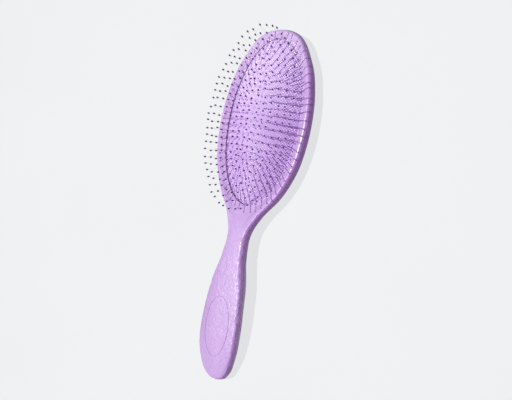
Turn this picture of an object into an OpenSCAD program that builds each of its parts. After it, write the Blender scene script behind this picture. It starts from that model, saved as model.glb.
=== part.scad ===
// Cushioned detangling brush lying on its back, pins up.
// X runs from the handle end to the head tip, Y across, Z from the back to the pin tips.
// The origin is under the middle of the brush, on the surface it rests on.

/* [Body] */
// Length from the handle end to the head tip
overall_l = 225; // [180:1:260]
// Widest part of the head
head_w = 67; // [60:0.5:80]
// Widest part of the handle
handle_w = 30.5; // [27:0.5:38]
// Narrowest part of the neck
neck_w = 15; // [14:0.5:20]
// Thickness of the head, from its back to its front rim
body_t = 13.2; // [12.8:0.2:18]
// Thickness of the neck
neck_t = 10; // [9.5:0.1:12]
// How far the front of the handle rises above the front of the head
front_rise = 2.6; // [0:0.1:4]
// Wall of both shells
wall = 2.1; // [1.6:0.1:2.6]
// Rounding of the front edge
front_r = 2.1; // [1.2:0.1:2.8]
// Rounding of the back edge
back_r = 3.3; // [2.4:0.1:3.8]
// Depth of the side wall, from the front to where the back begins
side_t = 9.1; // [8.4:0.1:9.6]

/* [Cushion] */
// Length of the opening that the cushion fills
opening_l = 104; // [90:1:108]
// Width of the opening that the cushion fills
opening_w = 53.6; // [48:0.2:55]
// Distance from the head tip to the opening
tip_rim_w = 6; // [5.8:0.1:9]
// How far the rim slopes down to the opening
dish_t = 1.5; // [0.6:0.1:2]
// Height of the crown over the cushion's edge
crown = 4.6; // [2:0.1:7]
// Thickness of the rubber
rubber_t = 1.4; // [1:0.1:2]
// Width of the flange round the cushion
flange_w = 1.8; // [1.2:0.1:2]
// Thickness of the flange
flange_t = 1; // [0.8:0.1:1.4]
// Thickness of the frame that clamps the flange
frame_t = 1.2; // [0.8:0.1:1.4]

/* [Pins] */
// Length of the outermost row of tips, along the brush
tips_l = 111.4; // [96:0.2:116]
// Width of the outermost row of tips, across the brush
tips_w = 62.2; // [50:0.2:66]
// Height of the outermost tips over the front rim
tips_h = 14; // [9:0.5:20]
// How much higher the middle tips stand
tips_crown = 2.4; // [0:0.1:4]
// Distance from the cushion's edge to the outermost row
edge_row = 2.5; // [2.3:0.1:3.4]
// Thickness of a pin at the cushion
pin_d = 0.9; // [0.7:0.05:1.2]
// Thickness of a pin at its tip
pin_end_d = 0.56; // [0.5:0.02:0.8]
// Thickness of a ball tip
ball_d = 1.35; // [1.1:0.05:2]
// Length of a ball tip
ball_l = 1.8; // [1.4:0.1:2.8]

/* [Engraving] */
// Length of the engraved oval
oval_l = 39.5; // [24:0.5:44]
// Width of the engraved oval
oval_w = 18.3; // [10:0.1:20]
// Distance from the handle end to the oval's middle
oval_at = 36.3; // [30:0.1:40]
// Width of the engraved line
oval_line = 0.6; // [0.3:0.05:1]
// Depth of the engraved line
oval_deep = 0.4; // [0.2:0.05:0.8]

/* [Hidden] */

// Overrun of every cut, clearance of parts that fit, and gap beside soft parts
cut = 1;
fit_gap = 0.1;
soft_gap = 0.3;

// The head and neck are laid out from the head tip, and the handle takes the rest
head_l = opening_l + tip_rim_w;
neck_l = 0.3 * head_l;
handle_l = overall_l - head_l - neck_l;
function from_tip(shares) = [for (s = shares) overall_l - head_l * s];

// The outline: half widths at stations along the brush, as shares of the handle, neck and head.
// They multiply quarter ellipses that round both ends.
handle_station_shares = [0, 0.0976, 0.3049, 0.5488, 0.7927];
head_station_shares = [1.3, 1.1636, 1.0455, 0.9364, 0.7727, 0.5909, 0.4091, 0.2273, 0.0818, 0];
handle_shares = [2.382, 1.958, 1.554, 1.201, 0.887];
neck_shares = [1.192, 1.068];
head_shares = [0.4045, 0.668, 0.932, 1.099, 1.216, 1.320, 1.454, 1.743];
stations = concat(handle_l * handle_station_shares, from_tip(head_station_shares));
halves = concat(handle_w / 2 * handle_shares, neck_w / 2 * neck_shares, head_w / 2 * head_shares);
handle_round = 1.372 * handle_l;
head_round = 1.0227 * head_l;

// The front's rise and fall along the brush, as shares of front_rise
handle_rise_station_shares = [0, 0.2195, 0.5488];
head_rise_station_shares = [1.1636, 0.9091, 0.5, 0];
rise_shares = [-1.42, 0.1, 1, 0.88, 0.2, 0, -0.3];
rise_stations = concat(handle_l * handle_rise_station_shares, from_tip(head_rise_station_shares));
rises = front_rise * rise_shares;

// The smooth curve through a list of places and values, with slopes taken from the neighbours
function piece(xs, x, i = 0) = i >= len(xs) - 2 || x < xs[i + 1] ? i : piece(xs, x, i + 1);
function chord(xs, ys, i) = (ys[i + 1] - ys[i]) / (xs[i + 1] - xs[i]);
function slope(xs, ys, i) =
    i == 0 ? chord(xs, ys, 0)
    : i == len(xs) - 1 ? chord(xs, ys, i - 1)
    : (chord(xs, ys, i - 1) * (xs[i + 1] - xs[i]) + chord(xs, ys, i) * (xs[i] - xs[i - 1]))
        / (xs[i + 1] - xs[i - 1]);
function curve(xs, ys, x) =
    let (i = piece(xs, x), h = xs[i + 1] - xs[i], t = (x - xs[i]) / h)
    ys[i] * (1 + 2 * t) * (1 - t) * (1 - t) + slope(xs, ys, i) * h * t * (1 - t) * (1 - t)
    + ys[i + 1] * t * t * (3 - 2 * t) - slope(xs, ys, i + 1) * h * t * t * (1 - t);

function rounding(x, r) = let (t = min(1, max(0, x / r))) sqrt(t * (2 - t));
function half_w(x) =
    rounding(x, handle_round) * rounding(overall_l - x, head_round) * curve(stations, halves, x);
function rise(x) = curve(rise_stations, rises, x);
function smooth(t) = let (s = min(1, max(0, t))) s * s * (3 - 2 * s);
function mix(a, b, t) = a + (b - a) * t;

// Places along the brush
neck_x = overall_l - 1.207 * head_l;
neck_reach = 0.327 * head_l;
dish_start = overall_l - 1.17 * head_l;
dish_full = overall_l - 0.93 * head_l;
neck_dip_share = 0.6;
spine_start = handle_w / 2;
spine_end = overall_l - head_w * 0.42;

// Heights of the front, the dish and the back at a station
function front_z(x) = body_t + rise(x);
function dish(x) =
    (dish_t + max(0, rise(x)) * neck_dip_share) * smooth((x - dish_start) / (dish_full - dish_start));
function back_z(x) =
    let (t = min(1, abs(x - neck_x) / neck_reach))
    (front_z(neck_x) - neck_t) * (1 - smooth(t));

// Half of the outline's points, then their mirror images: 0 is the head tip
ring_n = 96;
function station(j) = overall_l / 2 * (1 + cos(360 * j / ring_n));
function side(j) = j == 0 || j == ring_n / 2 ? 0 : j < ring_n / 2 ? 1 : -1;
function spine(x) = [min(spine_end, max(spine_start, x)), 0];
function reach(j) = let (x = station(j)) norm([x, half_w(x)] - spine(x));

// The outline drawn in by an inset, towards the spine, at one height per point
function drawn_in(j, inset) =
    let (x = station(j), p = [x, side(j) * half_w(x)], s = spine(x))
    p + (s - p) * min(1, inset / norm(s - p));
function at_height(j, inset, z) = let (p = drawn_in(j, inset)) [p[0], p[1], z];

// Levels of a shell: each gives one inset and one height for every point of the outline
side_lean = wall * 0.45;
joint_angle = 33;
fillet_end = 55;
lap = wall * 0.5;
lap_h = wall * 0.55;
land_share = 0.6;
rim_in = tip_rim_w + side_lean * 0.7;

function front_level(j, depth) = front_z(station(j)) - depth;
function fillet_in(a) = side_lean + back_r * (1 - cos(a));
function fillet_depth(a) = side_t - back_r * (1 - sin(a));
joint_in = fillet_in(joint_angle);
joint_depth = fillet_depth(joint_angle);

// The crowned back between the fillet and the flat land it rests on
function crown_in(j, t) = mix(fillet_in(fillet_end), land_share * reach(j), t);
function crown_z(j, t) =
    let (top = front_level(j, fillet_depth(fillet_end)), low = back_z(station(j)))
    mix(low, top, pow(1 - t, 1.3));

// A closed skin over a list of rings, from the top face outwards, down and in underneath.
// The first and last ring are closed by strips across.
function loop_faces(n, k) = [
    for (j = [0:n - 1]) let (a = k * n + j, b = k * n + (j + 1) % n)
        each [[a, b, b + n], [a, b + n, a + n]]
];
function strip_faces(n, first, top) = [
    for (j = [0:n / 2 - 1])
        let (a = first + j, b = first + j + 1, c = first + (n - j) % n, d = first + n - j - 1)
            each [
                if (j > 0) top ? [a, c, b] : [a, b, c],
                if (j < n / 2 - 1) top ? [b, c, d] : [b, d, c]
            ]
];
module skin(rings) {
    n = len(rings[0]);
    last = (len(rings) - 1) * n;
    polyhedron(
        points = [for (ring = rings) each ring],
        faces = concat(
            strip_faces(n, 0, true),
            [for (k = [0:len(rings) - 2]) each loop_faces(n, k)],
            strip_faces(n, last, false)
        )
    );
}

// A closed tube through a list of rings, the last joined to the first
module tube(rings) {
    n = len(rings[0]);
    k = len(rings);
    polyhedron(
        points = [for (ring = rings) each ring],
        faces = [
            for (i = [0:k - 1]) for (j = [0:n - 1])
                let (next = (j + 1) % n, a = i * n + j, b = i * n + next, low = (i + 1) % k * n)
                    each [[a, low + next, b], [a, low + j, low + next]]
        ]
    );
}

// Everything is modelled from the handle end and then centred
module centred() {
    translate([-overall_l / 2, 0, 0])
        children();
}

// Ovals about the cushion's middle
cushion_x = overall_l - tip_rim_w - opening_l / 2;
oval_n = 60;
module oval(l, w) {
    polygon([for (j = [0:oval_n - 1]) let (a = 360 * j / oval_n) [l / 2 * cos(a), w / 2 * sin(a)]]);
}
module oval_block(x, l, w, low, high) {
    translate([x, 0, low])
        linear_extrude(high - low)
            oval(l, w);
}

flange_l = opening_l + 2 * flange_w;
flange_across = opening_w + 2 * flange_w;

// Heights inside the head
seam_z = body_t - dish_t;
seat_z = seam_z - 2.8 * flange_t;
flange_low = seat_z - flange_t;
frame_high = flange_low - fit_gap / 2;
frame_low = frame_high - frame_t;
edge_z = seam_z - 0.6 * flange_t;

// The ring that carries the flange, under the rim: its top follows the front
seat_n = 54;
function seat_ring(top) = [
    for (j = [0:seat_n - 1])
        let (a = 360 * j / seat_n, x = cushion_x + flange_l / 2 * cos(a))
            [x, flange_across / 2 * sin(a), top ? front_z(x) - dish(x) - wall / 2 : seat_z]
];

// Locating posts on the back shell and their sockets in the front shell, which meet at mid height
posts = [0.3 * handle_l, 0.74 * handle_l, overall_l - 1.1 * head_l];
post_d = 3;
socket_wall = 1.2;
socket_gap = 0.05;
post_overlap = 3;
socket_d = post_d + 2 * socket_gap;
function mid_z(x) = (front_z(x) + back_z(x)) / 2;
function socket_low(x) = mid_z(x) - post_overlap / 2;
function post_high(x) = mid_z(x) + post_overlap / 2;
module post(x, d, low, high) {
    translate([x, 0, low])
        cylinder(d = d, h = high - low, $fn = 48);
}

// Front casing: rim of the head and front of the neck and handle, hollow behind
module front_blank() {
    skin([
        for (level = [
            [rim_in, 0, 1],
            [rim_in * 0.66, 0, 0.5],
            [front_r * 1.3, 0, 0],
            for (a = [0:30:90]) [front_r * (1 - sin(a)), front_r * (1 - cos(a)), 0],
            [side_lean * 0.9, side_t - back_r, 0],
            [fillet_in(joint_angle / 2), fillet_depth(joint_angle / 2), 0],
            [joint_in, joint_depth, 0],
            [joint_in + lap, joint_depth, 0],
            [joint_in + lap, joint_depth - lap_h, 0],
            [joint_in + 2 * lap, joint_depth - lap_h, 0],
            [side_lean + wall, 1.7 * wall, 0],
            [side_lean + 1.4 * wall, wall * 1.15, 0],
            [rim_in, wall, 1]
        ])
            [for (j = [0:ring_n - 1])
                at_height(j, level[0], front_level(j, level[1] + level[2] * dish(station(j))))]
    ]);
}

// The engraved line: a closed tube of four rings that follows the front
groove_n = 48;
function groove_ring(widen, rise) = [
    for (j = [0:groove_n - 1])
        let (
            a = 360 * j / groove_n,
            x = oval_at + (oval_l / 2 + widen) * cos(a),
            y = (oval_w / 2 + widen) * sin(a)
        )
            [x, y, front_z(x) + rise]
];
module oval_groove() {
    half_line = oval_line / 2;
    tube([
        groove_ring(half_line, cut), groove_ring(-half_line, cut),
        groove_ring(-half_line, -oval_deep), groove_ring(half_line, -oval_deep)
    ]);
}
module front_shell() {
    color([0.78, 0.64, 0.86])
        centred()
            difference() {
                union() {
                    front_blank();
                    skin([seat_ring(true), seat_ring(false)]);
                    for (x = posts)
                        post(x, socket_d + 2 * socket_wall, socket_low(x), front_z(x) - dish(x) - wall / 2);
                }
                oval_block(cushion_x, opening_l, opening_w, seat_z - cut, body_t + cut);
                oval_block(
                    cushion_x, flange_l + 2 * soft_gap, flange_across + 2 * soft_gap,
                    frame_low - cut, seat_z
                );
                for (x = posts)
                    post(x, socket_d, socket_low(x) - cut, post_high(x) + soft_gap);
                oval_groove();
            }
}

// Back casing: crowned back with a flat land, a lip inside the joint, and posts
floor_t = 0.8 * wall;
module back_blank() {
    skin([
        for (t = [1, 0.7, 0.35, 0])
            [for (j = [0:ring_n - 1])
                at_height(
                    j,
                    mix(fillet_in(fillet_end) + floor_t, land_share * reach(j), t),
                    crown_z(j, t) + mix(floor_t, wall, t)
                )],
        for (level = [
            [joint_in + 2 * lap, joint_depth - lap_h + fit_gap],
            [joint_in + lap + fit_gap, joint_depth - lap_h + fit_gap],
            [joint_in + lap + fit_gap, joint_depth + fit_gap / 2],
            [joint_in, joint_depth + fit_gap / 2],
            for (a = [(fillet_end + joint_angle) / 2, fillet_end]) [fillet_in(a), fillet_depth(a)]
        ])
            [for (j = [0:ring_n - 1]) at_height(j, level[0], front_level(j, level[1]))],
        for (t = [0.3, 0.62, 1])
            [for (j = [0:ring_n - 1]) at_height(j, crown_in(j, t), crown_z(j, t))]
    ]);
}
module back_shell() {
    color([0.72, 0.58, 0.81])
        centred()
            union() {
                back_blank();
                for (x = posts)
                    post(x, post_d, back_z(x) + wall / 2, post_high(x));
            }
}

// The rubber cushion: a crowned skin with a skirt through the opening and a clamped flange
cushion_n = 36;
cushion_l = opening_l - 2 * soft_gap;
cushion_w = opening_w - 2 * soft_gap;
slice_t = 0.6;
skin_drop = slice_t + soft_gap;
dome_power = 2.4;
function spread(x, y) = norm([(x - cushion_x) / (cushion_l / 2), y / (cushion_w / 2)]);
function dome(s) = edge_z + crown * (1 - pow(min(1, s), dome_power));
function dome_z(x, y) = dome(spread(x, y));
function oval_ring(l, w, z) = [
    for (j = [0:cushion_n - 1])
        let (a = 360 * j / cushion_n)
            [cushion_x + l / 2 * cos(a), w / 2 * sin(a), z]
];
module cushion() {
    inner_l = cushion_l - 2 * rubber_t;
    inner_w = cushion_w - 2 * rubber_t;
    color([0.84, 0.72, 0.93])
        centred()
            skin([
                for (s = [0.3, 0.55, 0.8, 0.95, 1])
                    oval_ring(cushion_l * s, cushion_w * s, dome(s) - skin_drop),
                oval_ring(cushion_l, cushion_w, seat_z - fit_gap / 2),
                oval_ring(flange_l, flange_across, seat_z - fit_gap / 2),
                oval_ring(flange_l, flange_across, flange_low),
                oval_ring(inner_l, inner_w, flange_low),
                for (s = [1, 0.93, 0.78, 0.55, 0.3])
                    oval_ring(inner_l * s, inner_w * s, dome(s) - skin_drop - rubber_t)
            ]);
}

// The frame that clamps the flange against the rim
module cushion_frame() {
    color([0.62, 0.5, 0.7])
        centred()
            difference() {
                oval_block(cushion_x, flange_l, flange_across, frame_low, frame_high);
                oval_block(
                    cushion_x, cushion_l - 2 * rubber_t, cushion_w - 2 * rubber_t,
                    frame_low - cut, frame_high + cut
                );
            }
}

// Pins stand in seven oval rows, 1 at the edge and 7 in the middle, spread evenly along each row
row_n = 7;
row_counts = [60, 54, 48, 42, 36, 32, 28];
slice_counts = [30, 28, 26, 24, 22, 20, 16];
slice_half = 1.25;
inner_row_w = 4.4;
inner_tips_w = 5;
base_l = cushion_l - 2 * edge_row;
base_w = cushion_w - 2 * edge_row;
function row_w(k) = mix(base_w, inner_row_w, k / (row_n - 1));
function row_l(k) = row_w(k) + base_l - base_w;
function row_tips_w(k) = mix(tips_w, inner_tips_w, k / (row_n - 1));
function row_tips_l(k) = row_tips_w(k) + tips_l - tips_w;

// Angles that step evenly along an oval: lengths run so far against angles, looked up
arc_n = 90;
function arc_point(l, w, i) = let (a = 360 * i / arc_n) [l / 2 * cos(a), w / 2 * sin(a)];
function arc_sum(l, w, i = 0, so_far = 0, out = [[0, 0]]) =
    i == arc_n ? out
    : let (next = so_far + norm(arc_point(l, w, i + 1) - arc_point(l, w, i)))
        arc_sum(l, w, i + 1, next, concat(out, [[next, 360 * (i + 1) / arc_n]]));
function even_angles(l, w, n, shift = 0) =
    let (table = arc_sum(l, w), total = table[arc_n][0])
    [for (j = [0:n - 1]) lookup(total * ((j + shift) % n) / n, table)];
function even_points(l, w, n, shift = 0) = [
    for (a = even_angles(l, w, n, shift)) [cushion_x + l / 2 * cos(a), w / 2 * sin(a)]
];

// Where each pin of a row leaves the cushion, and where it ends: the rows line up across the head
function tip_z(p) =
    let (s = norm([(p[0] - cushion_x) / (tips_l / 2), p[1] / (tips_w / 2)]))
    body_t + tips_h + tips_crown * (1 - min(1, s) * min(1, s));
function row_shift(k) = row_counts[k] % 4 / 4;
function feet(k) = [
    for (p = even_points(row_l(k), row_w(k), row_counts[k], row_shift(k)))
        [p[0], p[1], dome_z(p[0], p[1]) - slice_t / 2]
];
function ends(k) = [
    for (p = even_points(row_tips_l(k), row_tips_w(k), row_counts[k], row_shift(k)))
        [p[0], p[1], tip_z(p)]
];
function unit(v) = v / norm(v);
function triangle(c, axis, d, turn) =
    let (u = unit(cross([0, 1, 0], axis)), v = cross(axis, u))
    [for (a = [0, 120, 240]) c + d / 2 * (u * cos(a + turn) + v * sin(a + turn))];

// A pin: a slim three-sided shaft that starts inside its slice of the cushion's skin
module pin(foot, end) {
    axis = unit(end - foot);
    neck = end - axis * ball_l * 0.75;
    polyhedron(
        points = concat(triangle(foot, axis, pin_d, 0), triangle(neck, axis, pin_end_d, 0)),
        faces = [[0, 1, 2], [3, 5, 4], [0, 4, 1], [0, 3, 4], [1, 5, 2], [1, 4, 5], [2, 3, 0], [2, 5, 3]]
    );
}

// A ball tip: it sits on the pin's flat end
module ball(foot, end) {
    axis = unit(end - foot);
    neck = end - axis * ball_l * 0.75;
    polyhedron(
        points = concat(
            triangle(neck, axis, pin_end_d, 0),
            triangle(neck + axis * ball_l * 0.5, axis, ball_d, 60),
            [neck + axis * ball_l]
        ),
        faces = [
            [0, 1, 2], [0, 3, 1], [1, 3, 4], [1, 4, 2], [2, 4, 5], [2, 5, 0], [0, 5, 3],
            [3, 6, 4], [4, 6, 5], [5, 6, 3]
        ]
    );
}

// The slice of the cushion's skin that carries one row
function slice_ring(k, widen, drop) = [
    for (p = even_points(row_l(k) + 2 * widen, row_w(k) + 2 * widen, slice_counts[k]))
        [p[0], p[1], dome_z(p[0], p[1]) - drop]
];
module slice(k) {
    tube([
        slice_ring(k, slice_half, 0), slice_ring(k, -slice_half, 0),
        slice_ring(k, -slice_half, slice_t), slice_ring(k, slice_half, slice_t)
    ]);
}
module pins_row(k) {
    starts = feet(k);
    stops = ends(k);
    color([0.8, 0.76, 0.84])
        centred()
            union() {
                slice(k);
                for (j = [0:row_counts[k] - 1])
                    pin(starts[j], stops[j]);
            }
}
module tips_row(k) {
    starts = feet(k);
    stops = ends(k);
    color([0.3, 0.16, 0.4])
        centred()
            for (j = [0:row_counts[k] - 1])
                ball(starts[j], stops[j]);
}

front_shell();
back_shell();
cushion();
cushion_frame();
pins_row(0);  // pins_row_1
pins_row(1);  // pins_row_2
pins_row(2);  // pins_row_3
pins_row(3);  // pins_row_4
pins_row(4);  // pins_row_5
pins_row(5);  // pins_row_6
pins_row(6);  // pins_row_7
tips_row(0);  // tips_row_1
tips_row(1);  // tips_row_2
tips_row(2);  // tips_row_3
tips_row(3);  // tips_row_4
tips_row(4);  // tips_row_5
tips_row(5);  // tips_row_6
tips_row(6);  // tips_row_7
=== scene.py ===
"""The looks of a cushioned detangling brush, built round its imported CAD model.

Sizes are in millimetres until a mesh is made, and X runs from the handle end to the head tip.
"""
import math

import bpy
import numpy as np
from mathutils import Matrix, Vector


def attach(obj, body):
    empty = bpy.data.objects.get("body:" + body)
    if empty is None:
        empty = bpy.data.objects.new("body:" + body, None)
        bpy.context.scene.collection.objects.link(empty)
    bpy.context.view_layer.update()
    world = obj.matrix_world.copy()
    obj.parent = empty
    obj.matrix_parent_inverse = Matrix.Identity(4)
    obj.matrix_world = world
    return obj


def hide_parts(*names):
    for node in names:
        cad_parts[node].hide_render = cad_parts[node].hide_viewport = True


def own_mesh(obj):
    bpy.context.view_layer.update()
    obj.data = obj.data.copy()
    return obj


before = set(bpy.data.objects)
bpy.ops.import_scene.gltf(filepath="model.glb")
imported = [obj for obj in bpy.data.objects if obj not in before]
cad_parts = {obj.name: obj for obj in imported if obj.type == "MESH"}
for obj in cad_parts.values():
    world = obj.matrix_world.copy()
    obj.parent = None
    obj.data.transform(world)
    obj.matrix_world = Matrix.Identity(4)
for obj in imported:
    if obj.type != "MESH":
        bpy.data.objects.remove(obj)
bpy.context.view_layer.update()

MM = 0.001
SEED = 11

# Sizes of the CAD model
OVERALL_L, HEAD_W, HANDLE_W, NECK_W = 225.0, 67.0, 30.5, 15.0
BODY_T, NECK_T, FRONT_RISE, WALL = 13.2, 10.0, 2.6, 2.1
FRONT_R, BACK_R, SIDE_T = 2.1, 3.3, 9.1
OPENING_L, OPENING_W, TIP_RIM_W, DISH_T = 104.0, 53.6, 6.0, 1.5
CROWN, RUBBER_T, FLANGE_W, FLANGE_T, SOFT_GAP = 4.6, 1.4, 1.8, 1.0, 0.3
TIPS_L, TIPS_W, TIPS_H, TIPS_CROWN, EDGE_ROW = 111.4, 62.2, 14.0, 2.4, 2.5
SLICE_T, INNER_ROW_W, INNER_TIPS_W = 0.6, 4.4, 5.0
ROW_COUNTS = (60, 54, 48, 42, 36, 32, 28)
OVAL_L, OVAL_W, OVAL_AT, OVAL_LINE, OVAL_DEEP = 39.5, 18.3, 36.3, 0.6, 0.4

# The round pins and balls, which are slimmer than the CAD model's
PIN_D, PIN_END_D, BALL_D, BALL_L = 0.75, 0.5, 1.05, 1.7

# The outline and the front's rise, at stations along the brush
HEAD_L = OPENING_L + TIP_RIM_W
HANDLE_L = OVERALL_L - 1.3 * HEAD_L
STATIONS = np.concatenate([
    HANDLE_L * np.array([0, 0.0976, 0.3049, 0.5488, 0.7927]),
    OVERALL_L - HEAD_L * np.array([1.3, 1.1636, 1.0455, 0.9364, 0.7727, 0.5909, 0.4091, 0.2273, 0.0818, 0]),
])
HALVES = np.concatenate([
    HANDLE_W / 2 * np.array([2.382, 1.958, 1.554, 1.201, 0.887]),
    NECK_W / 2 * np.array([1.192, 1.068]),
    HEAD_W / 2 * np.array([0.4045, 0.668, 0.932, 1.099, 1.216, 1.320, 1.454, 1.743]),
])
RISE_STATIONS = np.concatenate([
    HANDLE_L * np.array([0, 0.2195, 0.5488]),
    OVERALL_L - HEAD_L * np.array([1.1636, 0.9091, 0.5, 0]),
])
RISES = FRONT_RISE * np.array([-1.42, 0.1, 1, 0.88, 0.2, 0, -0.3])
HANDLE_ROUND, HEAD_ROUND = 1.372 * HANDLE_L, 1.0227 * HEAD_L
NECK_X, NECK_REACH = OVERALL_L - 1.207 * HEAD_L, 0.327 * HEAD_L
DISH_START, DISH_FULL, NECK_DIP = OVERALL_L - 1.17 * HEAD_L, OVERALL_L - 0.93 * HEAD_L, 0.6
SPINE_START, SPINE_END = HANDLE_W / 2, OVERALL_L - HEAD_W * 0.42

# The wall and its joint
SIDE_LEAN = WALL * 0.45
JOINT_ANGLE, FILLET_END, LAND_SHARE = math.radians(33), math.radians(55), 0.6
RIM_IN, RIM_START = TIP_RIM_W + SIDE_LEAN * 0.7, FRONT_R * 1.1

# The cushion's levels and reach
SEAM_Z = BODY_T - DISH_T
SEAT_Z = SEAM_Z - 2.8 * FLANGE_T
EDGE_Z = SEAM_Z - 0.6 * FLANGE_T
CUSHION_X = OVERALL_L - TIP_RIM_W - OPENING_L / 2
CUSHION_L, CUSHION_W, DOME_POWER = OPENING_L - 2 * SOFT_GAP, OPENING_W - 2 * SOFT_GAP, 2.4


# Curves shared with the CAD model
def curve(xs, ys, x):
    """The smooth curve through places and values, with slopes taken from the neighbours."""
    x = np.asarray(x, float)
    gaps = np.diff(xs)
    chord = np.diff(ys) / gaps
    inner = (chord[:-1] * gaps[1:] + chord[1:] * gaps[:-1]) / (gaps[1:] + gaps[:-1])
    slope = np.concatenate([[chord[0]], inner, [chord[-1]]])
    i = np.clip(np.searchsorted(xs, x, side="right") - 1, 0, len(xs) - 2)
    h = gaps[i]
    t = (x - xs[i]) / h
    return (ys[i] * (1 + 2 * t) * (1 - t) ** 2 + slope[i] * h * t * (1 - t) ** 2
            + ys[i + 1] * t * t * (3 - 2 * t) - slope[i + 1] * h * t * t * (1 - t))


def smooth(t):
    """A soft step from 0 to 1."""
    t = np.clip(t, 0, 1)
    return t * t * (3 - 2 * t)


def rounding(x, r):
    """A quarter circle from 0 at x = 0 to 1 at x = r."""
    t = np.clip(x / r, 0, 1)
    return np.sqrt(t * (2 - t))


def half_w(x):
    return rounding(x, HANDLE_ROUND) * rounding(OVERALL_L - x, HEAD_ROUND) * curve(STATIONS, HALVES, x)


def rise(x):
    return curve(RISE_STATIONS, RISES, x)


def front_z(x):
    return BODY_T + rise(x)


def dish(x):
    """How far the front sinks from its edge to the opening."""
    sink = DISH_T + np.maximum(0, rise(x)) * NECK_DIP
    return sink * smooth((x - DISH_START) / (DISH_FULL - DISH_START))


def back_z(x):
    """The back's lowest line: flat on the floor, and lifted under the neck."""
    low = front_z(NECK_X) - NECK_T
    return low * (1 - smooth(np.abs(x - NECK_X) / NECK_REACH))


def fillet_in(a):
    """Inset of the back's fillet at an angle from its start."""
    return SIDE_LEAN + BACK_R * (1 - math.cos(a))


def fillet_depth(a):
    """Depth of the back's fillet below the front, at an angle from its start."""
    return SIDE_T - BACK_R * (1 - math.sin(a))


def dome(s):
    """Height of the rubber at a share of the way from its middle to its edge."""
    return EDGE_Z + CROWN * (1 - np.minimum(1, s) ** DOME_POWER)


# Meshes
def add_mesh(name, points, faces, smooth_angle=30.0):
    """A mesh object from points in millimetres from the handle end, centred along the brush."""
    used = np.zeros(len(points), int)
    used[[i for face in faces for i in face]] = 1
    index = np.cumsum(used) - 1
    points = (np.asarray(points, float)[used > 0] - [OVERALL_L / 2, 0, 0]) * MM
    mesh = bpy.data.meshes.new(name)
    mesh.from_pydata(points.tolist(), [], [tuple(int(index[i]) for i in face) for face in faces])
    mesh.validate()
    shade(mesh, smooth_angle)
    obj = bpy.data.objects.new(name, mesh)
    bpy.context.scene.collection.objects.link(obj)
    return obj


def shade(mesh, angle):
    """Smooth shading, but for edges sharper than the angle."""
    mesh.polygons.foreach_set("use_smooth", [True] * len(mesh.polygons))
    mesh.set_sharp_from_angle(angle=math.radians(angle))
    mesh.update()


def numbered(rings, n, start=0):
    """The point numbers of rings of n points that follow each other."""
    return [list(range(start + k * n, start + (k + 1) * n)) for k in range(rings)]


def band(a, b):
    """Quads between two closed rows of point numbers."""
    n = len(a)
    return [(a[i], b[i], b[(i + 1) % n], a[(i + 1) % n]) for i in range(n)]


def bands(rows):
    """Quads between each row and the next."""
    return [face for a, b in zip(rows[:-1], rows[1:]) for face in band(a, b)]


def clean(faces):
    """The faces without repeated corners, and without those that keep fewer than three."""
    faces = [tuple(dict.fromkeys(int(i) for i in face)) for face in faces]
    return [face for face in faces if len(face) > 2]


def capped(first, rings, last):
    """Points and faces of a closed form: rings of one count between two end points."""
    n = len(rings[0])
    points = np.concatenate([[first], *rings, [last]])
    rows = numbered(len(rings), n, 1)
    faces = bands(rows)
    for i in range(n):
        k = (i + 1) % n
        faces.append((0, rows[0][i], rows[0][k]))
        faces.append((len(points) - 1, rows[-1][k], rows[-1][i]))
    return points, faces


# The outline, as evenly spaced points from the head tip by way of +Y, and the spine that they are drawn in to
RING, FINE_RING, NEAR_CHUNK = 880, 4001, 2000


def outline_points():
    x = OVERALL_L / 2 * (1 + np.cos(np.linspace(0, np.pi, FINE_RING)))
    y = half_w(x)
    y[0] = y[-1] = 0
    run = np.concatenate([[0], np.cumsum(np.hypot(np.diff(x), np.diff(y)))])
    at = np.linspace(0, run[-1], RING // 2 + 1)
    x, y = np.interp(at, run, x), np.interp(at, run, y)
    return np.concatenate([x, x[-2:0:-1]]), np.concatenate([y, -y[-2:0:-1]])


OUT_X, OUT_Y = outline_points()
OUT = np.stack([OUT_X, OUT_Y], -1)
SPINE = np.stack([np.clip(OUT_X, SPINE_START, SPINE_END), np.zeros(RING)], -1)
REACH = np.hypot(*(OUT - SPINE).T)
HALF = RING // 2


def drawn_in(inset):
    """The outline drawn in towards the spine by an inset, or by one for each point."""
    return OUT + (SPINE - OUT) * np.minimum(1, np.broadcast_to(inset, RING) / REACH)[:, None]


def inset_of(points):
    """Distance of each point from the outline."""
    out = np.empty(len(points))
    step = np.roll(OUT, -1, 0) - OUT
    length_squared = (step * step).sum(1)
    for i in range(0, len(points), NEAR_CHUNK):
        from_start = points[i:i + NEAR_CHUNK, None, :] - OUT[None]
        share = np.clip((from_start * step).sum(-1) / length_squared, 0, 1)
        out[i:i + NEAR_CHUNK] = np.sqrt(((from_start - share[..., None] * step) ** 2).sum(-1)).min(1)
    return out


# Where each point of the outline is led across the front: the head's to the opening's edge, the others, which
# start at LAST_X, to the middle line. The edge's points are spaced partly by angle and partly by length.
LAST_X, FINE_EDGE, BY_LENGTH = 106.0, 2001, 0.75
LAST = int(np.argmin(np.abs(OUT_X[:HALF + 1] - LAST_X)))


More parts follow.
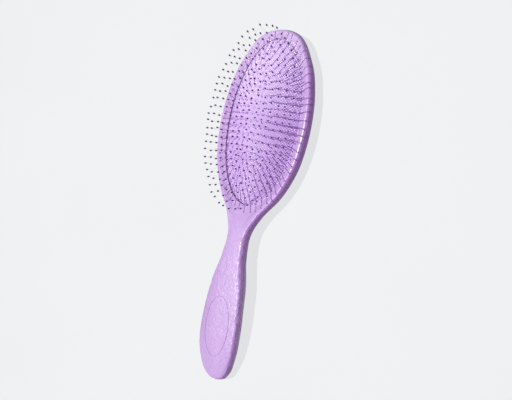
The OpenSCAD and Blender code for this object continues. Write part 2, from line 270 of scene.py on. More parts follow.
def targets():
    fine = np.linspace(0, np.pi, FINE_EDGE)
    x_steps, y_steps = np.diff(OPENING_L / 2 * np.cos(fine)), np.diff(OPENING_W / 2 * np.sin(fine))
    run = np.concatenate([[0], np.cumsum(np.hypot(x_steps, y_steps))])
    t = np.arange(LAST + 1) / LAST
    angle = (1 - BY_LENGTH) * np.pi * t + BY_LENGTH * np.interp(t * run[-1], run, fine)
    target = np.zeros((HALF + 1, 2))
    target[:LAST + 1, 0] = CUSHION_X + OPENING_L / 2 * np.cos(angle)
    target[1:LAST, 1] = OPENING_W / 2 * np.sin(angle[1:-1])
    target[LAST:, 0] = np.linspace(CUSHION_X - OPENING_L / 2, SPINE_START, HALF + 1 - LAST)
    return np.concatenate([target, target[HALF - 1:0:-1] * [1, -1]])


TARGET = targets()


# Moulded unevenness
class Noise:
    """Smooth value noise on a seeded lattice, about -1 to 1."""

    def __init__(self, seed, size=32):
        self.size = size
        self.values = np.random.RandomState(seed).uniform(-1, 1, (size, size, size))

    def __call__(self, x, y, z):
        place = np.stack([x, y, z], -1)
        base = np.floor(place).astype(int)
        f = smooth(place - base)
        out = 0
        for corner in np.ndindex(2, 2, 2):
            i = (base + corner) % self.size
            weight = np.abs(1 - np.array(corner) - f).prod(-1)
            out = out + weight * self.values[i[..., 0], i[..., 1], i[..., 2]]
        return out


grain = Noise(SEED)

# Heights of the wall's lumps and of the grain on the front and the back, and the level taken off each grain
LUMP, FRONT_GRAIN, FRONT_LEVEL, BACK_GRAIN, BACK_LEVEL = 0.46, 0.2, 0.5, 0.04, 0.35
# The front's grain is full round the grip's middle and fades to a least share
GRIP_X, GRIP_REACH, GRIP_FADE, GRAIN_LEAST = 60.0, RIM_IN + 40.0, 30.0, 0.3
# The back's starts a little above the flat land, and is taken from elsewhere in the noise
LAND_LIFT, BACK_SHIFT = 0.3, 30
# The handle's crown: its rise at the middle, its fall to the edge, where it ends and fades, and its depth
CROWN_RISE, CROWN_FALL, CROWN_END, CROWN_FADE, CROWN_DEPTH = 0.5, 1.2, 118.0, 40.0, 7.0
# The lumps shrink from LUMPS_FULL on, over LUMPS_FADE, down to a least share; the far side, +Y, has fewer
LUMPS_FULL, LUMPS_FADE, LUMPS_LEAST, LUMPS_FAR = 90.0, 60.0, 0.25, 0.5


# In both patterns the divisors are lengths in millimetres, and the numbers added only shift the noise
def grain_height(x, y, z):
    """The moulded flow grain of the shells, from 0 to 1: long soft waves with wrinkled crests."""
    bend = 1.4 * grain(x / 7 + 3, y / 5, z / 5 + 9) + 0.55 * grain(x / 2.2 + 11, y / 3, z / 3)
    ridge = 1 - np.abs(grain(x / 3.6 + 0.3 * bend, y / 1.5 + bend, z / 2.4 + 5))
    return ridge ** 2


def lumps(x, y, z):
    """Uneven moulding of the wall and its edges, at most 1.2 either way."""
    along = np.clip(1 - (x - LUMPS_FULL) / LUMPS_FADE, LUMPS_LEAST, 1)
    coarse = grain(x / 5.2, y / 5.2 + 20, z / 4.0 + 2)
    fine = grain(x / 1.25 + 40, y / 1.25, z / 2.6)
    return along * np.where(y > 0, LUMPS_FAR, 1) * (0.5 * coarse + 0.7 * fine)


def crowned(points):
    """Rounds the handle's front across its width, fading out down the side wall."""
    x, y, z = points.T
    out = np.minimum(1, np.abs(y) / np.maximum(half_w(x), 1))
    depth = np.clip(1 - (front_z(x) - z) / CROWN_DEPTH, 0, 1)
    points[:, 2] += (CROWN_RISE - CROWN_FALL * out ** 3) * smooth((CROWN_END - x) / CROWN_FADE) * depth
    return points


# Front casing: the rings across its front and how they crowd, the tight rounded edge, the flank's insets and
# depths, how far the wall leans in, and how much of the lumps each part of the wall gets
FRONT_RINGS, FRONT_SPACING, STEPS, WALL_LEAN = 30, 0.85, 6, 0.9 * SIDE_LEAN
EDGE_R, EDGE_ANGLES = 1.2, np.radians(np.linspace(8, 68, 8))
FLANK = ((0.72, 1.4), (0.42, 2.15), (0.15, 2.9), (0.03, 3.6))
FLANK_LUMP, WALL_LUMP, FILLET_LUMP, JOINT_LUMP = 0.8, 0.9, 0.5, 0.2
# The wall's inner face as insets and depths in walls, and the rings below the front and down the opening
INNER_WALL, UNDER_IN, UNDER_SEAM = ((1.0, 1.7), (1.4, 1.15)), RIM_IN * 0.8, 0.4
UNDER_SHARES, OPENING_SHARES = (0.0, 0.35, 0.7, 1.0), (0.15, 0.5, 0.85)
# The joint's fine groove: how far the front's lip turns in and down, and the back's
FRONT_LIP_IN, FRONT_LIP_DOWN = 0.12, 0.03
BACK_LIP_IN, BACK_LIP_DOWN, BACK_EDGE_IN, BACK_EDGE_DOWN = 0.1, 0.06, 0.02, 0.11
JOINT_IN, JOINT_DEPTH = fillet_in(JOINT_ANGLE), fillet_depth(JOINT_ANGLE)


def front_ring(start, share, drop=0.0):
    """A ring of the front, or with a drop of its underside, at a share of the way to the targets."""
    xy = start + (TARGET - start) * share
    z = front_z(xy[:, 0]) - dish(xy[:, 0]) * smooth((inset_of(xy) - RIM_START) / (RIM_IN - RIM_START))
    if drop:
        z = np.minimum(z - drop, SEAM_Z - UNDER_SEAM * drop)
    return np.column_stack([xy, z])


def wall_ring(inset, depth, lump=0.0):
    """A ring of the wall at an inset from the outline and a depth below the front, with lumps in and out."""
    z = front_z(OUT_X) - depth
    if lump:
        inset = np.maximum(inset + LUMP * lump * lumps(*drawn_in(inset).T, z), 0.0)
    return np.column_stack([drawn_in(inset), z])


def front_rings():
    """From the opening's edge out over the front, down the wall to the joint, and back in under the front."""
    flat_edge = drawn_in(FRONT_R)
    rings = [front_ring(flat_edge, t ** FRONT_SPACING) for t in np.linspace(1, 0, FRONT_RINGS)]
    for a in EDGE_ANGLES:
        inset, depth = FRONT_R - EDGE_R * math.sin(a), EDGE_R * (1 - math.cos(a))
        rings.append(wall_ring(inset, depth, (1 + math.sin(a)) / 2))
    rings += [wall_ring(inset, depth, FLANK_LUMP) for inset, depth in FLANK]
    flank_end, fillet_start = FLANK[-1][1], SIDE_T - BACK_R
    for t in np.linspace(0, 1, STEPS)[1:]:
        rings.append(wall_ring(WALL_LEAN * t, flank_end + (fillet_start - flank_end) * t, WALL_LUMP))
    for a in np.linspace(0, JOINT_ANGLE, STEPS)[1:]:
        lump = FILLET_LUMP if a < JOINT_ANGLE else JOINT_LUMP
        rings.append(wall_ring(fillet_in(a), fillet_depth(a), lump))
    rings.append(wall_ring(JOINT_IN + FRONT_LIP_IN, JOINT_DEPTH + FRONT_LIP_DOWN))
    rings.append(wall_ring(JOINT_IN + WALL, JOINT_DEPTH))
    rings += [wall_ring(SIDE_LEAN + inset * WALL, depth * WALL) for inset, depth in INNER_WALL]
    return rings + [front_ring(drawn_in(UNDER_IN), share, WALL) for share in UNDER_SHARES]


def join_sides(row):
    """Gives the two sides of a row that ends at the targets the same points along the middle line."""
    for j in range(LAST, HALF):
        row[RING - j] = row[j]


def front_casing():
    """The front, its wall and its underside, joined by a plain wall down the opening."""
    rings = front_rings()
    points = np.concatenate(rings)
    front_points = slice(0, FRONT_RINGS * RING)
    x, y, z = points[front_points].T
    strength = GRAIN_LEAST + (1 - GRAIN_LEAST) * smooth((GRIP_REACH - np.abs(x - GRIP_X)) / GRIP_FADE)
    points[front_points, 2] += FRONT_GRAIN * strength * (grain_height(x, y, z) - FRONT_LEVEL)
    crowned(points)
    rows = numbered(len(rings), RING)
    join_sides(rows[0])
    join_sides(rows[-1])
    round_opening = [LAST, *range(RING - LAST + 1, RING), *range(LAST)]
    top, bottom = ([row[j] for j in round_opening] for row in (rows[0], rows[-1]))
    wall_rows = numbered(len(OPENING_SHARES), len(top), len(points))
    wall = [points[top] + (points[bottom] - points[top]) * [0, 0, share] for share in OPENING_SHARES]
    faces = bands(rows) + bands([bottom, *wall_rows[::-1], top])
    return np.concatenate([points, *wall]), clean(faces)


# Back casing: how far across its crown each ring lies, outside and inside, with the flat land's edge at 1,
# and the wall's thickness where the inner face starts, as a share
BACK_SHARES = (*np.linspace(0.03, 1, 24), 1.15, 1.35, 1.6)
BACK_INNER_SHARES, BACK_POWER, THIN = (1.6, 1.0, 0.6, 0.25, 0.0), 1.3, 0.8
# For each point on the spine, the first point at the same place
_, FIRST_AT, PLACE_OF = np.unique(SPINE[:, 0], return_index=True, return_inverse=True)
SPINE_ROW = FIRST_AT[PLACE_OF]


def back_ring(share, wall=0.0):
    """A ring of the crowned back at a share of the way to the land, or of its inner face, a wall above."""
    start = fillet_in(FILLET_END) + THIN * wall
    xy = drawn_in(start + (LAND_SHARE * REACH - start) * share)
    low, high = back_z(xy[:, 0]), front_z(OUT_X) - fillet_depth(FILLET_END)
    z = low + (high - low) * max(0, 1 - share) ** BACK_POWER + wall * (THIN + (1 - THIN) * min(1, share))
    return np.column_stack([xy, z])


def spine_ring(lift):
    """A ring on the spine, at a lift above the back's lowest line."""
    return np.column_stack([SPINE, back_z(SPINE[:, 0]) + lift])


def back_casing():
    """The lip, the fillet and the crowned back to the middle line, then the inner face out again."""
    outer = [
        wall_ring(JOINT_IN + WALL, JOINT_DEPTH + BACK_LIP_DOWN),
        wall_ring(JOINT_IN + BACK_LIP_IN, JOINT_DEPTH + BACK_LIP_DOWN),
        wall_ring(JOINT_IN + BACK_EDGE_IN, JOINT_DEPTH + BACK_EDGE_DOWN),
    ]
    for a in np.linspace(JOINT_ANGLE, FILLET_END, STEPS)[1:]:
        outer.append(wall_ring(fillet_in(a), fillet_depth(a)))
    outer += [back_ring(share) for share in BACK_SHARES] + [spine_ring(0)]
    inner = [spine_ring(WALL)] + [back_ring(share, WALL) for share in BACK_INNER_SHARES]
    points = np.concatenate(outer + inner)
    outer_points = slice(0, len(outer) * RING)
    x, y, z = points[outer_points].T
    ripple = BACK_GRAIN * (grain_height(x, y, z + BACK_SHIFT) - BACK_LEVEL)
    points[outer_points, 2] -= np.where(z > back_z(x) + LAND_LIFT, ripple, 0)
    rows = numbered(len(outer + inner), RING)
    for k in (len(outer) - 1, len(outer)):
        rows[k] = k * RING + SPINE_ROW
    faces = bands(rows[:len(outer)]) + bands(rows[len(outer):]) + band(rows[-1], rows[0])
    return points, clean(faces)


# Cushion: the groove that draws its edge down, and how far its lowest rings and the skirt lie below EDGE_Z
DOME_SIDES, SKIRT_SIDES = 260, 200
DOME_STEPS = np.concatenate([np.linspace(0, 0.94, 60)[1:], np.linspace(0.945, 1, 10)])
GROOVE_START, GROOVE_DROP = 0.96, 0.34
TURN_IN, TURN_DROP, UNDER_DROP, INNER_DROP, SKIRT_DROP = 0.04, 0.42, 0.45, 0.3, 0.5
INNER_SHARES, SEAT_GAP = (0.9, 0.75, 0.5, 0.25), 0.05
INNER_L, INNER_W = CUSHION_L - 2 * RUBBER_T, CUSHION_W - 2 * RUBBER_T


def oval_ring(l, w, z, n):
    """A level oval ring of n points round the cushion's middle."""
    a = 2 * np.pi * np.arange(n) / n
    return np.column_stack([CUSHION_X + l / 2 * np.cos(a), w / 2 * np.sin(a), np.full(n, z)])


def cushion_dome():
    """The rubber's crown with its underside, as a closed cap."""
    profile = []
    for s in DOME_STEPS:
        groove = GROOVE_DROP * max(0.0, (s - GROOVE_START) / (1 - GROOVE_START)) ** 2
        profile.append((CUSHION_L * s, CUSHION_W * s, dome(s) - groove))
    profile.append((CUSHION_L - TURN_IN, CUSHION_W - TURN_IN, EDGE_Z - TURN_DROP))
    profile.append((INNER_L, INNER_W, EDGE_Z - UNDER_DROP))
    for s in INNER_SHARES:
        profile.append((INNER_L * s, INNER_W * s, max(EDGE_Z - INNER_DROP, dome(s) - RUBBER_T)))
    rings = [oval_ring(l, w, z, DOME_SIDES) for l, w, z in profile]
    return capped([CUSHION_X, 0, dome(0)], rings, [CUSHION_X, 0, dome(0) - RUBBER_T])


def cushion_skirt():
    """The rubber's edge down the opening and its flange under the rim, as a closed ring."""
    flange_l, flange_w = OPENING_L + 2 * FLANGE_W, OPENING_W + 2 * FLANGE_W
    profile = [
        (CUSHION_L, CUSHION_W, EDGE_Z - UNDER_DROP), (CUSHION_L, CUSHION_W, SEAT_Z - SEAT_GAP),
        (flange_l, flange_w, SEAT_Z - SEAT_GAP), (flange_l, flange_w, SEAT_Z - FLANGE_T),
        (INNER_L, INNER_W, SEAT_Z - FLANGE_T), (INNER_L, INNER_W, EDGE_Z - SKIRT_DROP),
    ]
    rows = numbered(len(profile), SKIRT_SIDES)
    points = np.concatenate([oval_ring(l, w, z, SKIRT_SIDES) for l, w, z in profile])
    return points, bands(rows) + band(rows[-1], rows[0])


# Pins and tips: the rows' places, how far a pin may be bent, and the shapes of a pin and a ball
BASE_L, BASE_W = CUSHION_L - 2 * EDGE_ROW, CUSHION_W - 2 * EDGE_ROW
ARC_N, BENT = 90, np.array([0.8, 0.6, 0.15])
PIN_SIDES, BALL_SIDES = 8, 10
PIN_DEEP, FOOT_TOP, FOOT_END, FOOT_WIDEN, FOOT_END_WIDEN = 0.9, 0.25, 0.55, 1.25, 1.02
INTO_BALL, COLLAR_AT, COLLAR_WIDEN, BALL_ON_PIN = 0.35, 0.02, 1.1, 0.75
BALL_ANGLES = np.radians([-62, -38, -12, 14, 40, 64])


def even_points(l, w, n, shift):
    """Evenly spaced points round an oval."""
    a = 2 * np.pi * np.arange(ARC_N + 1) / ARC_N
    x, y = l / 2 * np.cos(a), w / 2 * np.sin(a)
    run = np.concatenate([[0], np.cumsum(np.hypot(np.diff(x), np.diff(y)))])
    at = run[-1] * ((np.arange(n) + shift) % n) / n
    b = np.interp(at, run, a)
    return np.stack([CUSHION_X + l / 2 * np.cos(b), w / 2 * np.sin(b)], -1)


def oval_share(points, l, w):
    """How far out points lie in an oval: 0 at its middle, 1 at its edge."""
    return np.hypot((points[:, 0] - CUSHION_X) / (l / 2), points[:, 1] / (w / 2))


def row_ends(k):
    """Feet and ends of a row's pins."""
    n = ROW_COUNTS[k]
    share, shift = k / (len(ROW_COUNTS) - 1), n % 4 / 4
    w = BASE_W + (INNER_ROW_W - BASE_W) * share
    tip_w = TIPS_W + (INNER_TIPS_W - TIPS_W) * share
    foot = even_points(w + BASE_L - BASE_W, w, n, shift)
    end = even_points(tip_w + TIPS_L - TIPS_W, tip_w, n, shift)
    foot_z = dome(oval_share(foot, CUSHION_L, CUSHION_W)) - SLICE_T / 2
    end_z = BODY_T + TIPS_H + TIPS_CROWN * (1 - np.minimum(1, oval_share(end, TIPS_L, TIPS_W)) ** 2)
    bent = np.random.RandomState(SEED + k).uniform(-1, 1, (n, 3)) * BENT
    return np.column_stack([foot, foot_z]), np.column_stack([end, end_z]) + bent


def turned(start, axis, profile, n):
    """A closed turned shape: profile gives distances along the axis and radii, from its far end back."""
    u = np.cross([0, 1, 0], axis)
    u /= np.linalg.norm(u)
    a = 2 * np.pi * np.arange(n) / n
    circle = np.outer(np.cos(a), u) + np.outer(np.sin(a), np.cross(axis, u))
    rings = [start + axis * d + circle * r for d, r in profile[1:-1]]
    return capped(start + axis * profile[0][0], rings, start + axis * profile[-1][0])


def pin_profile(neck):
    """A tapered pin with a flared foot; neck is its length up to the ball."""
    foot, end = PIN_D / 2, PIN_END_D / 2
    profile = [(neck + INTO_BALL, 0), (neck + INTO_BALL, end)]
    profile += [(neck * t, foot + (end - foot) * t) for t in (1.0, 0.75, 0.5, 0.25)]
    profile += [(FOOT_END, foot * FOOT_END_WIDEN), (FOOT_TOP, foot * FOOT_WIDEN)]
    return profile + [(-PIN_DEEP, foot * FOOT_WIDEN), (-PIN_DEEP, 0)]


def ball_profile(neck):
    """A long ball with a small collar on the pin."""
    middle, collar = neck + BALL_L / 2, neck + COLLAR_AT
    around = [(middle + BALL_L / 2 * math.sin(a), BALL_D / 2 * math.cos(a)) for a in BALL_ANGLES[::-1]]
    return [(neck + BALL_L, 0)] + around + [(collar, PIN_END_D / 2 * COLLAR_WIDEN), (collar, 0)]


def joined(forms):
    """The points and faces of several forms as one."""
    points, faces = [], []
    for form_points, form_faces in forms:
        faces += [tuple(i + len(points) for i in face) for face in form_faces]
        points.extend(form_points)
    return points, faces


def build_row(k):
    """All pins and all tips of one row, each as points and faces."""
    pins, tips = [], []
    for foot, end in zip(*row_ends(k)):
        length = np.linalg.norm(end - foot)
        axis = (end - foot) / length
        neck = length - BALL_ON_PIN * BALL_L
        pins.append(turned(foot, axis, pin_profile(neck), PIN_SIDES))
        tips.append(turned(foot, axis, ball_profile(neck), BALL_SIDES))
    return joined(pins), joined(tips)


# Materials
class Nodes:
    """Short calls for building a material's node tree."""

    def __init__(self, name):
        self.material = bpy.data.materials.new(name)
        self.material.use_nodes = True
        self.tree = self.material.node_tree
        self.tree.nodes.clear()
        out = self.tree.nodes.new("ShaderNodeOutputMaterial")
        self.shader = self.tree.nodes.new("ShaderNodeBsdfPrincipled")
        self.link(self.shader.outputs[0], out.inputs["Surface"])
        self.place = self.tree.nodes.new("ShaderNodeTexCoord").outputs["Object"]

    def link(self, a, b):
        self.tree.links.new(a, b)

    def feed(self, socket, value):
        """Links a socket, or sets it where the value is a number or a colour."""
        if isinstance(value, (int, float)):
            socket.default_value = value
        elif isinstance(value, tuple):
            socket.default_value = (*value, 1)
        else:
            self.link(value, socket)

    def set(self, **values):
        for key, value in values.items():
            self.shader.inputs[key.replace("_", " ").title().replace("Ior", "IOR")].default_value = value

    def to(self, socket, name):
        self.link(socket, self.shader.inputs[name])

    def mapped(self, scale, rotation=(0, 0, 0)):
        node = self.tree.nodes.new("ShaderNodeMapping")
        node.inputs["Scale"].default_value = scale
        node.inputs["Rotation"].default_value = rotation
        self.link(self.place, node.inputs["Vector"])
        return node.outputs[0]

    def noise(self, vector, detail=2.0, roughness=0.5, distortion=0.0):
        node = self.tree.nodes.new("ShaderNodeTexNoise")
        node.inputs["Scale"].default_value = 1.0
        node.inputs["Detail"].default_value = detail
        node.inputs["Roughness"].default_value = roughness
        node.inputs["Distortion"].default_value = distortion
        self.link(vector, node.inputs["Vector"])
        return node.outputs["Fac"]

    def voronoi(self, vector):
        node = self.tree.nodes.new("ShaderNodeTexVoronoi")
        node.inputs["Scale"].default_value = 1.0
        self.link(vector, node.inputs["Vector"])
        return node.outputs["Distance"], node.outputs["Color"]

    def ramp(self, value, *stops):
        """Each stop is a place and the grey level there."""
        node = self.tree.nodes.new("ShaderNodeValToRGB")
        elements = node.color_ramp.elements
        while len(elements) < len(stops):
            elements.new(0.5)
        for element, (place, level) in zip(elements, stops):
            element.position = place
            element.color = (level, level, level, 1)
        self.link(value, node.inputs[0])
        return node.outputs[0]

    def math(self, kind, a, b=0.0):
        node = self.tree.nodes.new("ShaderNodeMath")
        node.operation = kind
        self.feed(node.inputs[0], a)
        self.feed(node.inputs[1], b)
        return node.outputs[0]

    def times(self, a, b):
        return self.math("MULTIPLY", a, b)

    def share(self, value, low, high):
        """How far a value lies from low to high, unclamped."""
        return self.times(self.math("SUBTRACT", value, low), 1 / (high - low))

    def mix(self, factor, a, b):
        node = self.tree.nodes.new("ShaderNodeMix")
        node.data_type = "RGBA"
        for socket, value in zip((node.inputs[0], node.inputs[6], node.inputs[7]), (factor, a, b)):
            self.feed(socket, value)
        return node.outputs[2]

    def axes(self):
        """Places along X, Y and Z, in metres."""
        node = self.tree.nodes.new("ShaderNodeSeparateXYZ")
        self.link(self.place, node.inputs[0])
        return node.outputs

    def bump(self, height, strength, distance, before=None):
        node = self.tree.nodes.new("ShaderNodeBump")
        node.inputs["Strength"].default_value = strength
        node.inputs["Distance"].default_value = distance
        self.link(height, node.inputs["Height"])
        if before is not None:
            self.link(before, node.inputs["Normal"])
        return node.outputs[0]


# Stretches of the brush in metres, along X and across Y, over which colour and gloss change
HANDLE_SPAN, HEAD_SPAN, WIDTH_SPAN = (-0.1125, 0.0875), (0.0, 0.1), (-0.02, 0.02)
# What the grip and the head's tip add to the pale colour, and the share of the base colour in the painted
# shade on the grip's far side
GRIP_PALER, TIP_PALER, FAR_SIDE_SHADE = (0.06, 0.11, 0.04), (0.06, 0.12, 0.05), (0.85, 0.85, 0.85)
FLECK_COLOUR, SPECK_COLOUR = (0.30, 0.12, 0.22), (0.38, 0.16, 0.36)
WAVE_DEEP, CREASE_DEEP, PORE_DEEP = 0.00022, 0.0002, 0.00006


def added(colour, step):
    return tuple(c + s for c, s in zip(colour, step))


def scaled(colour, shares):
    return tuple(c * s for c, s in zip(colour, shares))


def shell_colour(n, base, pale, handle, width, grip):
    """Soft mottling, paler on the grip and at the head's tip, with painted shade darkening the grip's far
    side.
    """
    mottling = n.noise(n.mapped((60, 110, 90)), 3.0, 0.55, 0.6)
    colour = n.mix(n.ramp(mottling, (0.3, 0.0), (0.72, 1.0)), base, pale)
    held = n.ramp(handle, (0.0, 0.45), (0.25, 1.0), (0.6, 0.0))
    colour = n.mix(n.times(held, 0.5), colour, added(pale, GRIP_PALER))
    tip = n.ramp(n.share(n.axes()[0], *HEAD_SPAN), (0.8, 0.0), (1.0, 0.5))
    colour = n.mix(tip, colour, added(pale, TIP_PALER))
    # Painted shade: the grip's far side, towards +Y, is darkened
    shaded_far_side = n.ramp(width, (0.5, 0.0), (0.85, 1.0))
    return n.mix(n.times(n.times(shaded_far_side, grip), 0.65), colour, scaled(base, FAR_SIDE_SHADE))


def flecked(n, colour):
    """Sparse brownish flecks of plant fibre, and finer specks."""
    distance, tone = n.voronoi(n.mapped((260, 420, 340), (0.2, 0.1, 0.5)))
    fleck = n.times(n.ramp(tone, (0.52, 0.0), (0.56, 1.0)), n.ramp(distance, (0.09, 1.0), (0.2, 0.0)))
    colour = n.mix(n.times(fleck, 0.6), colour, FLECK_COLOUR)
    distance, tone = n.voronoi(n.mapped((520, 760, 640), (0.5, 0.3, 0.1)))
    speck = n.times(n.ramp(tone, (0.62, 0.0), (0.66, 1.0)), n.ramp(distance, (0.2, 1.0), (0.34, 0.0)))
    return n.mix(n.times(speck, 0.4), colour, SPECK_COLOUR)


def shell_material(name, base, pale, level=0.6, worn=0.0):
    """Satin lavender plastic with plant fibre, glossier where worn and on the grip, most on its near side."""
    n = Nodes(name)
    handle, width = n.share(n.axes()[0], *HANDLE_SPAN), n.share(n.axes()[1], *WIDTH_SPAN)
    grip = n.ramp(handle, (0.02, 0.0), (0.17, 1.0), (0.36, 1.0), (0.52, 0.0))
    n.to(flecked(n, shell_colour(n, base, pale, handle, width, grip)), "Base Color")
    wave = n.noise(n.mapped((150, 330, 260)), 1.0, 0.5, 1.6)
    polish = n.times(grip, n.ramp(width, (0.14, 0.34), (0.27, 0.2)))
    roughness = n.ramp(wave, (0.3, 0.6), (0.7, 0.68))
    n.to(n.math("SUBTRACT", roughness, n.math("MAXIMUM", polish, worn)), "Roughness")
    worm = n.noise(n.mapped((210, 400, 320), (0.0, 0.0, 0.35)), 0.5, 0.5, 1.2)
    crease = n.ramp(n.math("ABSOLUTE", n.math("SUBTRACT", worm, 0.5)), (0.0, 0.0), (0.12, 1.0))
    pores = n.noise(n.mapped((900, 900, 900)), 2.0, 0.6)
    rough = 1 - 2 * worn
    waves = n.bump(wave, 0.3 * rough, WAVE_DEEP)
    creases = n.bump(crease, 0.6 * rough, CREASE_DEEP, waves)
    n.to(n.bump(pores, 0.05, PORE_DEEP, creases), "Normal")
    n.set(specular_ior_level=level)
    return n.material


# The rubber's diamond mesh in metres, its painted sheen colour at the head's tip, and its cells' painted
# shade as a share of the base colour
MESH_PITCH, MESH_DEEP = 0.0018, 0.00012
RUBBER_TOP_SHEEN, CELL_SHADE_SHARES = (0.63, 0.55, 0.76), (0.52, 0.44, 0.6)


def rubber_material(base, pale):
    """Soft rubber moulded with a fine diamond mesh, with painted light paler in the middle and least towards
    -Y, a painted sheen towards the head's tip, and painted shade in the mesh's hollows, deepest towards -Y.
    """
    n = Nodes("cushion_rubber")
    x, y, _ = n.axes()
    turns = 2 * math.pi / MESH_PITCH
    cells = n.times(n.math("SINE", n.times(x, turns)), n.math("SINE", n.times(y, turns)))
    width = n.share(y, *WIDTH_SPAN)
    clouds = n.noise(n.mapped((45, 70, 60)))
    # Painted light: paler in the middle, less so towards +Y and least towards -Y; then a painted sheen, paler
    # towards the head's tip
    middle = n.ramp(width, (0.12, 0.0), (0.48, 0.95), (0.95, 0.6))
    sheen_to_tip = n.ramp(n.share(x, *HEAD_SPAN), (0.55, 0.0), (0.95, 1.0))
    tint = n.math("ADD", n.times(clouds, 0.5), n.times(middle, 0.35))
    tint = n.math("ADD", tint, n.times(sheen_to_tip, 0.35))
    colour = n.mix(n.ramp(tint, (0.25, 0.0), (0.7, 1.0)), base, pale)
    colour = n.mix(n.times(sheen_to_tip, 0.7), colour, RUBBER_TOP_SHEEN)
    # Painted shade in the mesh's hollows, deepest towards -Y
    shaded_hollow = n.ramp(cells, (0.0, 1.0), (0.45, 0.0))
    depth = n.ramp(width, (0.0, 0.9), (0.5, 0.4), (1.0, 0.1))
    n.to(n.mix(n.times(shaded_hollow, depth), colour, scaled(base, CELL_SHADE_SHARES)), "Base Color")
    n.to(n.ramp(cells, (0.0, 0.66), (0.8, 0.56)), "Roughness")
    n.to(n.bump(n.times(cells, 0.5), 0.5, MESH_DEEP), "Normal")
    n.set(specular_ior_level=0.25)
    return n.material


def clouded_material(name, scale, detail, dark, pale, **values):
    """A material whose colour clouds between two tones, and the noise of the clouds."""
    n = Nodes(name)
    cloud = n.noise(n.mapped(scale), detail)
    n.to(n.mix(n.ramp(cloud, (0.3, 0.0), (0.7, 1.0)), dark, pale), "Base Color")
    n.set(**values)
    return n, cloud


def pin_material():
    n, streak = clouded_material("clear_nylon", (80, 80, 400), 2.0, (0.94, 0.9, 0.98), (0.99, 0.96, 1.0),
                                 transmission_weight=1.0, ior=1.03, specular_ior_level=0.2, alpha=0.98)
    n.to(n.ramp(streak, (0.2, 0.06), (0.8, 0.14)), "Roughness")
    return n.material


def tip_material():
    n, cloud = clouded_material("dark_purple_resin", (500, 500, 500), 2.0, (0.06, 0.02, 0.105),
                                (0.09, 0.034, 0.145), specular_ior_level=0.5)
    n.to(n.ramp(cloud, (0.2, 0.22), (0.8, 0.36)), "Roughness")
    return n.material


def floor_material():
    n, _ = clouded_material("pale_floor", (6, 6, 6), 3.0, (0.115, 0.12, 0.12), (0.125, 0.13, 0.13),
                            roughness=0.8, specular_ior_level=0.1,
                            emission_color=(0.95, 0.99, 0.97, 1), emission_strength=0.7)
    return n.material


SHELL = shell_material("shell_plastic", (0.363, 0.25, 0.473), (0.396, 0.284, 0.50))
# The wall and flank plastics are the shell's plastic in painted shade: the wall much darker, the flank a
# deeper purple
SHADED_WALL_PLASTIC = shell_material("wall_shaded_plastic", (0.245, 0.132, 0.32), (0.285, 0.16, 0.36), level=0.25)
FLANK_SHADED_PLASTIC = shell_material("flank_shaded_plastic", (0.39, 0.22, 0.53), (0.43, 0.255, 0.57), level=0.3)
EDGE = shell_material("edge_plastic", (0.37, 0.24, 0.49), (0.40, 0.275, 0.52), level=0.75, worn=0.36)
BACK = shell_material("back_plastic", (0.34, 0.21, 0.465), (0.38, 0.245, 0.49), level=0.3)
FRAME_PLASTIC = shell_material("frame_plastic", (0.34, 0.21, 0.46), (0.40, 0.25, 0.52))
RUBBER = rubber_material((0.432, 0.305, 0.568), (0.502, 0.408, 0.635))
PIN = pin_material()
TIP = tip_material()


# Pieces
OVAL_N, CUTTER_SIDES, CUTTER_SHARE, OVAL_SHARP = 160, 8, 0.85, 35
# How deep below the front the edge's plastic and the flank's painted shade reach, and how far in from the
# outline
EDGE_DEPTH, FLANK_DEPTH, OUTSIDE_INSET = 0.7, 1.5, FRONT_R * 1.02


def dress(obj, material, body, slot, *nodes):
    obj.data.materials.clear()
    obj.data.materials.append(material)
    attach(obj, body)
    if nodes:
        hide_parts(*nodes)
    return obj


def oval_cutter():
    """A thin closed tube that lies along the engraved oval, half sunk into the handle's front."""
    points = []
    for a in 2 * np.pi * np.arange(OVAL_N) / OVAL_N:
        x, y = OVAL_AT + OVAL_L / 2 * math.cos(a), OVAL_W / 2 * math.sin(a)
        out = np.array([OVAL_W * math.cos(a), OVAL_L * math.sin(a), 0])
        out /= np.linalg.norm(out)
        on_front = crowned(np.array([[x, y, float(front_z(x))]]))[0]
        for b in 2 * np.pi * (np.arange(CUTTER_SIDES) + 0.5) / CUTTER_SIDES:
            down = np.array([0, 0, CUTTER_SHARE * OVAL_DEEP * math.sin(b)])
            points.append(on_front + out * OVAL_LINE / 2 * math.cos(b) + down)
    rows = numbered(OVAL_N, CUTTER_SIDES)
    return add_mesh("oval_cutter", points, bands(rows) + band(rows[-1], rows[0]))


def engrave(obj):
    """Cuts the thin oval line into the front of the handle."""
    cutter = oval_cutter()
    modifier = obj.modifiers.new("cut", "BOOLEAN")
    modifier.operation, modifier.solver, modifier.object = "DIFFERENCE", "EXACT", cutter
    depsgraph = bpy.context.evaluated_depsgraph_get()
    cut = bpy.data.meshes.new_from_object(obj.evaluated_get(depsgraph))
    obj.modifiers.clear()
    obj.data = cut
    shade(cut, OVAL_SHARP)
    bpy.data.objects.remove(cutter)


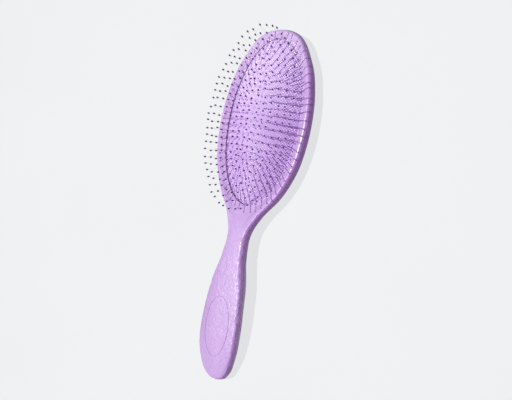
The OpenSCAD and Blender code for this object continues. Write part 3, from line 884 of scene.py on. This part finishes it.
def paint_front(obj):
    """Gives the outside of the front casing its edge plastic, and its flank and wall plastics in painted
    shade, by depth.
    """
    for material in (SHADED_WALL_PLASTIC, FLANK_SHADED_PLASTIC, EDGE):
        obj.data.materials.append(material)
    centres = np.array([p.center[:] for p in obj.data.polygons]) / MM + [OVERALL_L / 2, 0, 0]
    insets = inset_of(centres[:, :2])
    depths = front_z(centres[:, 0]) - centres[:, 2]
    for polygon, inset, depth in zip(obj.data.polygons, insets, depths):
        outside = inset < OUTSIDE_INSET and polygon.normal.z > -0.5
        # Painted shade by depth: the wall's below FLANK_DEPTH, the flank's above it, and the edge plastic
        # nearest the front
        by_depth = 1 if depth > FLANK_DEPTH else 2 if depth > EDGE_DEPTH else 3
        polygon.material_index = by_depth if outside else 0


front = add_mesh("front_casing", *front_casing())
engrave(front)
dress(front, SHELL, "handle", "shell", "front_shell")
paint_front(front)
dress(add_mesh("back_casing", *back_casing()), BACK, "handle", "shell", "back_shell")

cushion = dress(add_mesh("cushion_dome", *cushion_dome(), 50), RUBBER, "handle", "cushion", "cushion")
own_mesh(cushion)
skirt = dress(add_mesh("cushion_skirt", *cushion_skirt()), RUBBER, "handle", "cushion", "cushion")

for k in range(len(ROW_COUNTS)):
    pins, tips = build_row(k)
    row = f"row_{k + 1}"
    dress(add_mesh(f"pins_{row}.clear", *pins, 60), PIN, row, "pins", f"pins_{row}")
    dress(add_mesh(f"tips_{row}.balls", *tips, 60), TIP, row, "tips", f"tips_{row}")

frame_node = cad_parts["cushion_frame"]
for slot in frame_node.material_slots:
    slot.material = FRAME_PLASTIC

# Floor
bpy.ops.mesh.primitive_plane_add(size=6)
floor = bpy.context.object
floor.name = "floor"
floor.data.materials.append(floor_material())

# Lights: places and sizes in metres, and what they are aimed at
AIM = Vector((0, 0, 0.01))
STRIP_PLACE, STRIP_ALONG = Vector((-0.46, -0.1, 1.33)), Vector((-0.78, 0.45, -0.27))
STRIP_L, STRIP_W = 0.95, 0.04
# A dim violet sky lights the shadows, and a pale one is seen beyond the floor
SKY_LIGHT, SKY_SEEN = (0.235, 0.092, 0.32, 1), (0.84, 0.86, 0.87, 1)


def area_light(name, place, size, power, colour):
    light = bpy.data.lights.new(name, "AREA")
    light.shape = "DISK"
    light.size, light.energy, light.color = size, power, colour
    obj = bpy.data.objects.new(name, light)
    obj.location = place
    obj.rotation_mode = "QUATERNION"
    obj.rotation_quaternion = (AIM - Vector(place)).to_track_quat("-Z", "Y")
    bpy.context.scene.collection.objects.link(obj)
    return obj


def strip_light():
    """A long strip, turned so that its reflection runs down the head's lower right edge."""
    strip = area_light("glint", STRIP_PLACE, size=STRIP_L, power=5.5, colour=(1.0, 0.88, 1.0))
    strip.data.shape, strip.data.size_y = "RECTANGLE", STRIP_W
    long_way = STRIP_ALONG.normalized()
    short_way = STRIP_PLACE.cross(STRIP_ALONG).normalized()
    axes = (long_way, short_way, long_way.cross(short_way))
    strip.rotation_quaternion = Matrix(axes).transposed().to_quaternion()
    return strip


def make_world():
    world = bpy.data.worlds.new("studio")
    bpy.context.scene.world = world
    world.use_nodes = True
    tree = world.node_tree
    sky = tree.nodes.new("ShaderNodeMix")
    sky.data_type = "RGBA"
    tree.links.new(tree.nodes.new("ShaderNodeLightPath").outputs["Is Camera Ray"], sky.inputs[0])
    sky.inputs[6].default_value, sky.inputs[7].default_value = SKY_LIGHT, SKY_SEEN
    tree.links.new(sky.outputs[2], tree.nodes["Background"].inputs[0])


area_light("key", (0.10, 0.16, 1.6), size=0.06, power=27.5, colour=(1.0, 1.01, 0.93))
fill = area_light("fill", (-0.45, 0.47, 1.45), size=0.1, power=3.2, colour=(0.97, 0.78, 1.0))
for light in (fill, strip_light()):
    light.data.use_shadow = False
make_world()
bpy.context.scene.view_settings.view_transform = "Standard"

# Camera: its axes and distance, and where the brush's middle lies in a picture of 512 by 400
CAMERA_RIGHT, CAMERA_BACK = Vector((0.199, -0.769, -0.608)), Vector((0.079, -0.606, 0.792))
CAMERA_DISTANCE, FOCAL_PIXELS, SENSOR_W = 0.3342, 536.06, 36
IMAGE_W, IMAGE_H, MIDDLE_PIXEL = 512, 400, (242.90, 208.56)


def make_camera():
    lens = bpy.data.cameras.new("camera")
    camera = bpy.data.objects.new("camera", lens)
    bpy.context.scene.collection.objects.link(camera)
    back = CAMERA_BACK.normalized()
    right = (CAMERA_RIGHT - back * CAMERA_RIGHT.dot(back)).normalized()
    turn = Matrix((right, back.cross(right), back)).transposed().to_4x4()
    camera.matrix_world = Matrix.Translation(Vector((0, 0, BODY_T * MM)) + back * CAMERA_DISTANCE) @ turn
    lens.sensor_width = SENSOR_W
    lens.lens = FOCAL_PIXELS * SENSOR_W / IMAGE_W
    lens.shift_x = (IMAGE_W / 2 - MIDDLE_PIXEL[0]) / IMAGE_W
    lens.shift_y = (MIDDLE_PIXEL[1] - IMAGE_H / 2) / IMAGE_W
    lens.clip_start, lens.clip_end = 0.01, 20
    bpy.context.scene.camera = camera


make_camera()
